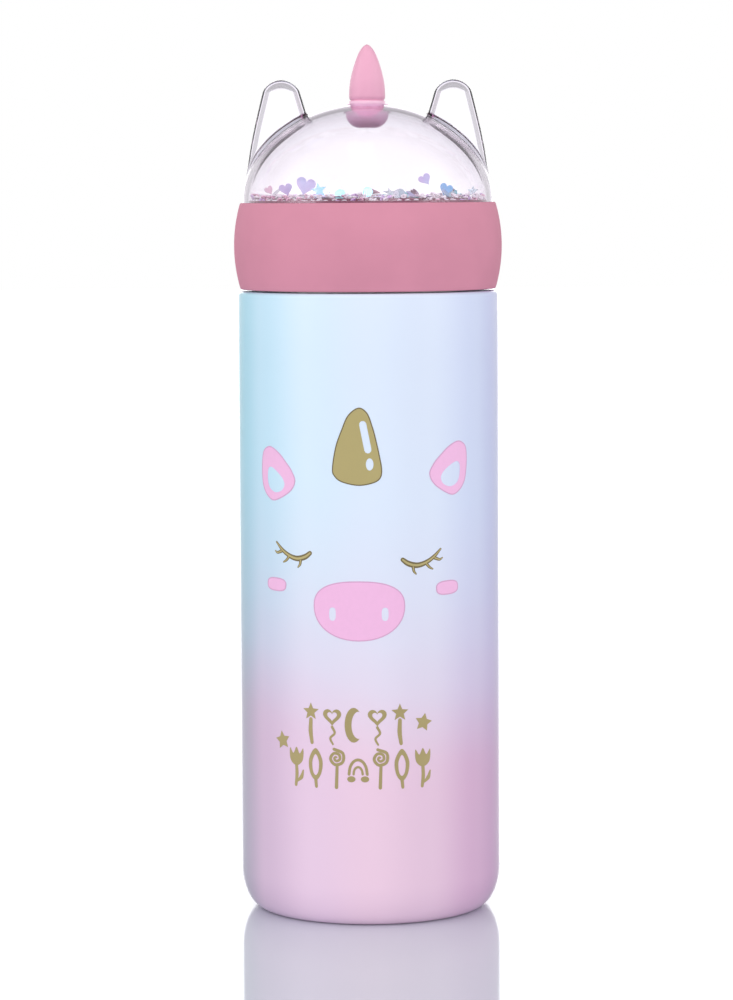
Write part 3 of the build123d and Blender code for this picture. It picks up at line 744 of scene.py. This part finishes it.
def make_collar():
    """Barrel-shaped collar with rounded edges and the ledge that carries the dome."""
    middle = (COLLAR_Z + COLLAR_TOP_Z) / 2
    half = (COLLAR_TOP_Z - COLLAR_Z) / 2
    rounded = COLLAR_ROUND / half * 0.9  # share of the half height that the edges take
    belly = []
    for step in range(25):
        height = -1 + 2 * step / 24
        if abs(height) < 1 - rounded:
            radius = COLLAR_BELLY_R - (COLLAR_BELLY_R - COLLAR_EDGE_R) * height ** 2
            belly.append((radius, middle + half * height))
    edge_r = COLLAR_EDGE_R - COLLAR_ROUND + 0.1 * MM
    low_edge = arc((edge_r, COLLAR_Z + COLLAR_ROUND), COLLAR_ROUND, -90, -10, 6)
    high_edge = arc((edge_r, COLLAR_TOP_Z - COLLAR_ROUND), COLLAR_ROUND, 10, 90, 6)
    inside = [(DOME_SEAT_R, COLLAR_TOP_Z), (DOME_SEAT_R, LEDGE_Z), (LEDGE_R, LEDGE_Z),
              (LEDGE_R, LEDGE_Z - LEDGE_THICKNESS), (COLLAR_BORE_R, LEDGE_Z - LEDGE_THICKNESS),
              (COLLAR_BORE_R, COLLAR_Z)]
    mesh = lathe("barrel_collar", low_edge + belly + high_edge + inside)
    add_object("barrel_collar", mesh, "lid", [COLLAR_PINK], ["lid_collar"])


def make_lid_floor():
    """Floor of the dome, in a darker pink as painted shade under the dome: a raised middle with a rounded
    edge, and a gutter with a low dark lip round it, which draws a painted shadow line at the dome's foot.
    """
    edge = arc((GUTTER_R - FLOOR_ROUND, FLOOR_Z - FLOOR_ROUND), FLOOR_ROUND, 0, 90, 5)
    shadow_line_lip_r = FLOOR_R - SHADOW_LINE_LIP_WIDTH
    shadow_line_lip = [(FLOOR_R, GUTTER_Z + SHADOW_LINE_LIP), (shadow_line_lip_r, GUTTER_Z + SHADOW_LINE_LIP), (shadow_line_lip_r, GUTTER_Z)]
    outside = [(0.0, lid_floor_low.z), (FLOOR_R, lid_floor_low.z)] + shadow_line_lip + [(GUTTER_R, GUTTER_Z)]
    mesh = lathe("lid_floor", outside + edge + [(0.0, FLOOR_Z)], loop=False)
    add_object("lid_floor", mesh, "lid", [SHADED_FLOOR_PINK], ["dome_floor"])


make_collar()
make_lid_floor()

# ---- Clear dome with ears, as the zero surface of a field in millimetres above the collar ----

DOME_WALL = 1.5
EAR_WALL = 1.3
EAR_TIP = 32.7
EAR_ROUND_START = 29.3
EAR_FILLET = 1.2
EAR_BASE = 4.0  # the ear's ellipse stays the same below this level
EAR_MIDDLE, EAR_SPREAD, EAR_BEND = 20.3, 2.85, 9.0  # from the axis, how far it moves out, over what rise
EAR_HALF_WIDTH, EAR_WIDTH_FALL = 12.0, 0.275
EAR_HALF_DEPTH, EAR_DEPTH_FALL = 6.3, 0.1
LEAST_EAR_SLOPE = 1.5  # keeps the distance steady near the middle of an ear
SOCKET_R, SOCKET_DEPTH = 5.8, 6.4
SOCKET_FILLET = 0.8
BORE_R, BORE_DEPTH = 4.75, 4.9
SOCKET_ROUND = 3.0
NET_STEP = 0.45


def shell_distance(x, y, z, radius, height):
    """Distance to a half ellipsoid on a straight skirt."""
    flat = x * x + y * y
    size = np.sqrt(flat / radius ** 2 + z * z / height ** 2) + 1e-9
    slope = np.sqrt(flat / radius ** 4 + z * z / height ** 4) + 1e-9
    above = (size - 1) * size / slope
    return np.where(z > 0, above, np.sqrt(flat) - radius)


def ear_form(x, y, z):
    """Negative inside an ear: ellipses that lean in and close at the tip."""
    level = np.clip(z, EAR_BASE, None)
    rise = level - EAR_BASE
    centre = EAR_MIDDLE + EAR_SPREAD * (1 - np.exp(-rise / EAR_BEND))
    half_width = EAR_HALF_WIDTH - EAR_WIDTH_FALL * rise
    half_depth = EAR_HALF_DEPTH - EAR_DEPTH_FALL * rise
    closing = np.clip((level - EAR_ROUND_START) / (EAR_TIP - EAR_ROUND_START), 0, None)
    stretch = half_width / half_depth
    return (np.abs(x) - centre) ** 2 + (y * stretch) ** 2 - half_width ** 2 * (1 - closing ** 2)


def ear_distance(x, y, z):
    step = 0.05
    value = ear_form(x, y, z)
    slopes = [(ear_form(x + a, y + b, z + c) - ear_form(x - a, y - b, z - c)) / (2 * step)
              for a, b, c in ((step, 0, 0), (0, step, 0), (0, 0, step))]
    return value / (np.sqrt(sum(s * s for s in slopes)) + LEAST_EAR_SLOPE)


def smooth_union(a, b, blend):
    share = np.clip(0.5 + 0.5 * (b - a) / blend, 0, 1)
    return b + (a - b) * share - blend * share * (1 - share)


def pit(x, y, z, radius, floor, rounding):
    """A round pit that is open upwards, with a rounded floor."""
    side = np.sqrt(x * x + y * y) - radius + rounding
    below = floor + rounding - z
    outer = np.sqrt(np.maximum(side, 0) ** 2 + np.maximum(below, 0) ** 2)
    return outer + np.minimum(np.maximum(side, below), 0) - rounding


def dome_field(x, y, z):
    radius, height = DOME_R / MM, DOME_HEIGHT / MM
    outside = shell_distance(x, y, z, radius, height)
    inside = shell_distance(x, y, z, radius - DOME_WALL, height - DOME_WALL)
    ears = ear_distance(x, y, z)
    skin = smooth_union(outside, ears, EAR_FILLET)
    hollow = smooth_union(inside, ears + EAR_WALL, EAR_FILLET)
    wall = np.maximum(skin, -hollow)
    socket = np.maximum(pit(x, y, z, SOCKET_R, height - SOCKET_DEPTH, SOCKET_ROUND + 1), outside)
    wall = smooth_union(wall, socket, SOCKET_FILLET)
    wall = np.maximum(wall, -pit(x, y, z, BORE_R, height - BORE_DEPTH, SOCKET_ROUND))
    return np.maximum(wall, (dome_low.z - COLLAR_TOP_Z) / MM - z)


def surface_net(field, low, high, step):
    """A closed quad mesh of the field's zero surface, with its vertices pulled on to that surface."""
    axes = [np.arange(a, b + step, step) for a, b in zip(low, high)]
    grid = field(*np.meshgrid(*axes, indexing="ij"))
    inside = grid < 0
    cells = [len(a) - 1 for a in axes]

    def corner(values, shift):
        return values[tuple(slice(s, s + n) for s, n in zip(shift, cells))]

    filled = sum(corner(inside, shift).astype(int) for shift in product((0, 1), repeat=3))
    mixed = (filled > 0) & (filled < 8)
    number = np.full(cells, -1)
    number[mixed] = np.arange(mixed.sum())
    place, hits = np.zeros((*cells, 3)), np.zeros(cells)
    for axis in range(3):
        for shift in product((0, 1), repeat=3):
            if shift[axis]:
                continue
            ahead = [1 if a == axis else s for a, s in enumerate(shift)]
            a, b = corner(grid, shift), corner(grid, ahead)
            crossing = (a < 0) != (b < 0)
            share = np.where(crossing, a / np.where(crossing, a - b, 1), 0)
            spot = np.stack([np.full(cells, float(s)) for s in shift], axis=-1)
            spot[..., axis] = share
            place += spot * crossing[..., None]
            hits += crossing
    index = np.argwhere(mixed)
    points = np.array(low) + (index + place[mixed] / hits[mixed][:, None]) * step
    faces = []
    for axis in range(3):
        others = [a for a in range(3) if a != axis]
        ends = [slice(1, n) for n in cells]
        ends[axis] = slice(None)
        spots = np.argwhere(np.diff(inside[tuple(ends)], axis=axis))
        spots[:, others] += 1
        filled = inside[tuple(spots.T)]
        quads = []
        for back in ((1, 1), (0, 1), (0, 0), (1, 0)):
            cell = spots.copy()
            cell[:, others] -= back
            quads.append(number[tuple(cell.T)])
        quads = np.stack(quads, axis=1)
        backward = filled if axis == 1 else ~filled
        quads[backward] = quads[backward][:, ::-1]
        faces.append(quads)
    faces = np.concatenate(faces)
    for _ in range(4):
        value, slope = field(*points.T), field_slope(field, points)
        move = value[:, None] * slope / ((slope ** 2).sum(axis=1)[:, None] + 1e-9)
        length = np.linalg.norm(move, axis=1)[:, None] + 1e-12
        points -= move * np.minimum(1, 0.4 * step / length)
    return points, faces


def field_slope(field, points):
    step = 0.02
    slopes = []
    for axis in range(3):
        shift = np.zeros(3)
        shift[axis] = step
        slopes.append((field(*(points + shift).T) - field(*(points - shift).T)) / (2 * step))
    return np.stack(slopes, axis=1)


def make_dome():
    reach = DOME_R / MM + 1.0
    foot = (dome_low.z - COLLAR_TOP_Z) / MM - 1.0
    points, faces = surface_net(dome_field, (-reach, -reach, foot), (reach, reach, EAR_TIP + 1.0), NET_STEP)
    normals = field_slope(dome_field, points)
    normals /= np.linalg.norm(normals, axis=1)[:, None] + 1e-9
    points = points * MM + np.array([0, 0, COLLAR_TOP_Z])
    mesh = bpy.data.meshes.new("clear_dome")
    mesh.from_pydata(points.tolist(), [], faces.tolist())
    mesh.polygons.foreach_set("use_smooth", [True] * len(mesh.polygons))
    mesh.update()
    mesh.normals_split_custom_set_from_vertices(normals.tolist())
    add_object("clear_dome", mesh, "lid", [CLEAR], ["dome"])


# Half of the horn's outline: share of its radius, and millimetres below its tip.
HORN_SIDE = [(0.0, 0.0), (0.2, 0.55), (0.46, 2.3), (0.68, 5.0), (0.87, 8.2), (0.97, 11.0)]
HORN_FOOT_R = 4.4 * MM
SPIGOT_R = 2.4 * MM  # the horn's spigot fills a hole in its plug
PLUG_HOLE_DEPTH = 3.2 * MM
PLUG_BOND = 0.2 * MM  # the plug is bonded to its bore, so that it wets the clear wall
PLUG_ROUND = 2.9 * MM
PLUG_SHOULDER = 0.35 * MM


def make_horn():
    """Bullet horn with a soft foot and a groove above its plug."""
    radius = horn_high.x
    groove_z = plug_high.z
    half_points = [(share * radius, HORN_TIP_Z - drop * MM) for share, drop in HORN_SIDE]
    side = [(max(p.x, 0.0), p.y) for p in through(half_points + [(radius, groove_z + 1.2 * MM)], 6)]
    foot = [(radius - 0.12 * MM, groove_z + 0.5 * MM), (radius - 0.4 * MM, groove_z + 0.12 * MM),
            (HORN_FOOT_R, groove_z)]
    spigot = [(SPIGOT_R, groove_z), (SPIGOT_R, horn_low.z), (0.0, horn_low.z)]
    mesh = lathe("pink_horn", (side + foot + spigot)[::-1], segments=96, loop=False)
    add_object("pink_horn", mesh, "lid", [HORN_PINK], ["horn"])


def make_horn_plug():
    """Straight-sided plug in the dome's socket, with a rounded end and a soft shoulder under the groove."""
    top, low, radius = plug_high.z, plug_low.z - PLUG_BOND, plug_high.x + PLUG_BOND
    bottom = arc((radius - PLUG_ROUND, low + PLUG_ROUND), PLUG_ROUND, -90, 0, 8)
    shoulder = arc((radius - PLUG_SHOULDER, top - PLUG_SHOULDER), PLUG_SHOULDER, 0, 90, 5)
    hole_z = top - PLUG_HOLE_DEPTH
    hole = [(SPIGOT_R, top), (SPIGOT_R, hole_z), (0.0, hole_z)]
    mesh = lathe("pink_horn_plug", [(0.0, low)] + bottom + shoulder + hole, segments=96, loop=False)
    add_object("pink_horn_plug", mesh, "lid", [PLUG_PINK], ["horn_plug"])


make_dome()
make_horn()
make_horn_plug()


# ======== Loose sequins and beads ========

SEQUIN_THICK = 0.12 * MM
SEQUIN_COUNT, SEQUIN_REACH = 90, 28.0  # loose sequins, and how far they lie from the axis in millimetres
SEQUIN_SIZES, SEQUIN_LAYERS = (2.2, 4.4), (0.15, 1.1)  # width, and height above the floor, in millimetres
FLAT_SHARE, FLAT_LEANS, STEEP_LEANS = 0.88, (-10, 10), (30, 60)  # most lie nearly flat, and the rest stand up
FILM_DRAW = [0, 0, 1, 3, 3, 4, 4, 4]  # film numbers, as often as they come up
# Rows of beads heaped against the dome: radius and height in millimetres, and count.
BEAD_ROWS = [(31.0, 190.5, 66), (29.5, 190.5, 70), (30.8, 191.4, 40), (29.8, 191.5, 36), (30.9, 192.0, 12)]
BEAD_SCATTER, BEAD_REACH = 80, 27.4  # beads on the raised floor, and how far they lie from the axis
BEAD_R, BEAD_TUBE_R = 0.5 * MM, 0.24 * MM
BEAD_AROUND, BEAD_SECTION = 12, 7


def spun(u, v, angle):
    """A flat point turned about the origin."""
    return u * cos(angle) - v * sin(angle), u * sin(angle) + v * cos(angle)


def turned(points, origin, turn, lean, roll):
    """Outline points in millimetres, rolled in their plane, leaned back from the floor and turned about Z."""
    r, l, t = (radians(a) for a in (roll, lean, turn))
    moved = []
    for layer in (-0.5, 0.5):
        for u, v in points:
            x, y = spun(u, v, r)
            x, y, z = x * MM, y * MM, layer * SEQUIN_THICK
            y, z = spun(y, z, l)
            x, y = spun(x, y, t)
            moved.append((origin[0] + x, origin[1] + y, origin[2] + z))
    return moved


def sequin_mesh(name, pieces):
    """One mesh of separate thin sequins. Each is (outline, origin, turn, lean, roll, material number)."""
    vertices, faces, numbers = [], [], []
    for outline, origin, turn, lean, roll, number in pieces:
        base, count = len(vertices), len(outline)
        vertices += turned(outline, origin, turn, lean, roll)
        faces.append([base + i for i in range(count)][::-1])
        faces.append([base + count + i for i in range(count)])
        faces += [[base + i, base + (i + 1) % count, base + count + (i + 1) % count, base + count + i]
                  for i in range(count)]
        numbers += [number] * (count + 2)
    mesh = smooth_mesh(name, vertices, faces, 30)
    mesh.polygons.foreach_set("material_index", numbers)
    return mesh


# Outline of each kind of sequin by its size, and the CAD node that it stands for.
SEQUINS = {
    "heart": (lambda size: heart((0, 0), size, 30), "heart_sequins"),
    "star": (lambda size: star((0, 0), size / 2), "star_sequins"),
    "disc": (lambda size: oval((0, 0), size / 2, size / 2, count=24), "round_sequins"),
}
# Standing pieces: kind, x, y, height of the middle above the floor, size, turn, lean, roll, colour.
STANDING = [
    ("heart", -21.3, -15.0, 2.5, 3.6, 20, 76, 12, "lavender"),
    ("heart", -16.1, -19.5, 3.4, 5.2, -10, 80, -14, "lavender"),
    ("heart", -26.0, -8.0, 2.3, 2.6, 35, 72, 25, "pink"),
    ("heart", 14.9, -18.0, 4.9, 3.4, 15, 68, 30, "lavender"),
    ("heart", 20.4, -15.5, 2.3, 3.6, -20, 78, -20, "blue"),
    ("star", -12.6, -22.0, 2.1, 4.2, 5, 80, 10, "blue"),
    ("star", 27.6, -8.5, 1.7, 3.0, -30, 75, 0, "clear"),
    ("disc", -8.6, -24.3, 2.6, 3.3, 0, 82, 0, "clear"),
    ("disc", -7.1, -25.3, 1.0, 2.9, 0, 84, 0, "aqua"),
    ("disc", 0.0, -25.2, 1.7, 2.6, 0, 84, 0, "aqua"),
    ("disc", 8.0, -24.0, 1.2, 3.2, -20, 50, 0, "clear"),
]


def make_sequins():
    """Film sequins: a few that stand up against the dome, and many that lie loose on the floor."""
    rng = random.Random(7)
    pieces = {kind: [] for kind in SEQUINS}
    for kind, x, y, height, size, turn, lean, roll, colour in STANDING:
        origin = (x * MM, y * MM, FLOOR_Z + height * MM)
        pieces[kind].append((SEQUINS[kind][0](size), origin, turn, lean, roll, list(FILMS).index(colour)))
    for _ in range(SEQUIN_COUNT):
        kind = rng.choice(["heart", "heart", "star", "disc", "disc"])
        angle, radius = rng.uniform(0, 2 * pi), sqrt(rng.uniform(0.05, 1)) * SEQUIN_REACH
        size, layer = rng.uniform(*SEQUIN_SIZES), rng.uniform(*SEQUIN_LAYERS)
        origin = (radius * cos(angle) * MM, radius * sin(angle) * MM, FLOOR_Z + layer * MM)
        lean = rng.uniform(*(FLAT_LEANS if rng.random() < FLAT_SHARE else STEEP_LEANS))
        if lean >= STEEP_LEANS[0]:
            origin = (origin[0], origin[1], FLOOR_Z + (size * 0.5 * sin(radians(lean)) + 0.1) * MM)
        turn = degrees(angle) + 90 + rng.uniform(-25, 25)
        number = rng.choice(FILM_DRAW)
        pieces[kind].append((SEQUINS[kind][0](size), origin, turn, lean, rng.uniform(0, 360), number))
    for kind, (_, node) in SEQUINS.items():
        name = f"sequin_{kind}s"
        mesh = sequin_mesh(name, pieces[kind])
        add_object(name, mesh, "lid", list(FILMS.values()), [node])


def make_beads():
    """Tiny ring beads heaped in the gutter and scattered over the raised floor."""
    rng = random.Random(3)
    spots = []
    for row_radius, height, count in BEAD_ROWS:
        for number in range(count):
            angle = 2 * pi * (number + rng.uniform(-0.3, 0.3)) / count
            spots.append((row_radius + rng.uniform(-0.2, 0.1), angle, height))
    for _ in range(BEAD_SCATTER):
        spots.append((sqrt(rng.uniform(0, 1)) * BEAD_REACH, rng.uniform(0, 2 * pi), FLOOR_Z / MM))
    vertices, faces, numbers = [], [], []
    for radius, angle, height in spots:
        centre = polar(radius * MM, angle)
        tip, spin = rng.uniform(0, 1.2), rng.uniform(0, 2 * pi)
        base = len(vertices)
        numbers += [rng.choice((0, 0, 0, 0, 1, 2))] * (BEAD_AROUND * BEAD_SECTION)
        lift = BEAD_TUBE_R + (BEAD_R * sin(tip))
        for a in range(BEAD_AROUND):
            for s in range(BEAD_SECTION):
                alpha, beta = 2 * pi * a / BEAD_AROUND, 2 * pi * s / BEAD_SECTION
                reach = BEAD_R + BEAD_TUBE_R * cos(beta)
                x, y = polar(reach, alpha)
                y, z = spun(y, BEAD_TUBE_R * sin(beta), tip)
                x, y = spun(x, y, spin)
                vertices.append((centre[0] + x, centre[1] + y, height * MM + lift + z))
                row, after_row = base + a * BEAD_SECTION, base + (a + 1) % BEAD_AROUND * BEAD_SECTION
                after_s = (s + 1) % BEAD_SECTION
                faces.append([row + s, after_row + s, after_row + after_s, row + after_s])
    mesh = smooth_mesh("ring_beads", vertices, faces, 80)
    mesh.polygons.foreach_set("material_index", numbers)
    add_object("ring_beads", mesh, "lid", BEADS, ["beads"])


make_sequins()
make_beads()


# ======== Stage: floor, light and camera ========

CAMERA_DISTANCE = 0.952
CAMERA_HEIGHT = 0.1937
CAMERA_LENS = 127.3
CAMERA_TILT = 5.01  # degrees down
CAMERA_ROLL = 0.3
CAMERA_SIDE = -0.0003

FLOOR_HALF = 6.0
FLOOR_DROP = 0.02 * MM  # keeps the sheet from touching the foot

LIGHT_TARGET = (0.0, 0.0, 0.12)
# Lamps: place, size in metres and power.
LAMPS = {
    "key_left": ((-1.5, -0.75, 0.5), (0.9, 1.0), 6.0),
    "key_right": ((1.5, -0.75, 0.5), (0.9, 1.0), 2.6),
    "key_front": ((0.48, -2.0, 0.62), (1.2, 0.7), 10.4),
    "top": ((0.0, 0.1, 1.6), (1.2, 1.2), 0.4),
}

# Strength of the studio's light by direction.
FRONT_LIGHT = 0.785
SIDE_GAIN = 1.68
TOP_LIGHT = 0.45
BACK_SIDES = 0.95
BACK_WINDOW = 2.2
# What shows through clear plastic: a white screen behind, with dimmer edges that draw the outlines.
SCREEN = 1.26
SCREEN_TOP = 0.55
SCREEN_SIDES = 0.72
SCREEN_TINT = (0.955, 1.0, 1.0)
# Where the studio's light changes, by one part of a ray's direction.
SIDE_EDGE = (0.5, 0.95)
WINDOW_EDGE = (0.2, 0.34)
SCREEN_EDGE = (0.22, 0.4)
TOP_EDGE = (0.24, 0.42)
BACK_EDGE = (-0.15, 0.25)


def make_camera():
    data = bpy.data.cameras.new("camera")
    data.lens = CAMERA_LENS
    data.sensor_width = 36.0
    data.clip_start, data.clip_end = 0.05, 50.0
    camera = link_object("camera", data)
    camera.location = (CAMERA_SIDE, -CAMERA_DISTANCE, CAMERA_HEIGHT)
    camera.rotation_euler = (radians(90 - CAMERA_TILT), radians(CAMERA_ROLL), 0.0)
    scene.camera = camera


def make_floor():
    """Glossy white sheet that the bottle stands on."""
    made, tree, shader = material("stage_floor", Base_Color=(0.67, 0.71, 0.79), Roughness=0.04, IOR=1.55)
    vary_gloss(tree, shader, noise(tree, 3.0, 2.0), 0.03, 0.06)
    corners = [(x * FLOOR_HALF, y * FLOOR_HALF, 0) for x, y in ((-1, -1), (1, -1), (1, 1), (-1, 1))]
    mesh = bpy.data.meshes.new("stage_floor")
    mesh.from_pydata(corners, [], [(0, 1, 2, 3)])
    floor = link_object("stage_floor", mesh)
    mesh.materials.append(made)
    floor.location.z = -FLOOR_DROP


def make_light(name, place, size, energy):
    """A soft lamp aimed at the bottle, which isn't mirrored in it or in the floor."""
    data = bpy.data.lights.new(name, "AREA")
    data.shape = "RECTANGLE"
    data.size, data.size_y = size
    data.energy = energy
    light = link_object(name, data)
    light.location = place
    light.rotation_euler = (Vector(LIGHT_TARGET) - Vector(place)).to_track_quat("-Z", "Y").to_euler()
    light.visible_camera = False
    light.visible_glossy = False


def make_world():
    """White studio: even light in front, stronger at the sides, and a bright window behind."""
    world = bpy.data.worlds.new("studio")
    scene.world = world
    world.use_nodes = True
    tree = world.node_tree
    direction = tree.nodes.new("ShaderNodeTexCoord").outputs["Generated"]
    split = add_node(tree, "ShaderNodeSeparateXYZ", in_Vector=direction)
    sideways = calculate(tree, "ABSOLUTE", split.outputs["X"])
    upwards = remap(tree, split.outputs["Z"], *TOP_EDGE, smooth=True)
    backwards = remap(tree, split.outputs["Y"], *BACK_EDGE, smooth=True)
    front = remap(tree, sideways, *SIDE_EDGE, FRONT_LIGHT, FRONT_LIGHT * SIDE_GAIN, smooth=True)

    def surround(edge, middle, sides, top):
        """Light by direction: the same in front, and behind with its own middle, sides and top."""
        back = remap(tree, sideways, *edge, middle, sides, smooth=True)
        return mix(tree, backwards, front, mix(tree, upwards, back, top, "FLOAT"), "FLOAT")

    room = surround(WINDOW_EDGE, BACK_WINDOW, BACK_SIDES, TOP_LIGHT)
    screen = surround(SCREEN_EDGE, SCREEN, SCREEN_SIDES, SCREEN_TOP)
    rays = tree.nodes.new("ShaderNodeLightPath").outputs
    seen, through_clear = rays["Is Camera Ray"], rays["Transmission Depth"]
    white = (1.0, 1.0, 1.0)
    colour = mix(tree, seen, mix(tree, through_clear, white, SCREEN_TINT), white)
    strength = mix(tree, seen, mix(tree, through_clear, room, screen, "FLOAT"), 1.0, "FLOAT")
    background = tree.nodes["Background"]
    feed(tree, background.inputs["Color"], colour)
    feed(tree, background.inputs["Strength"], strength)


make_camera()
make_floor()
make_world()
for name, lamp in LAMPS.items():
    make_light(name, *lamp)
scene.view_settings.view_transform = "Standard"
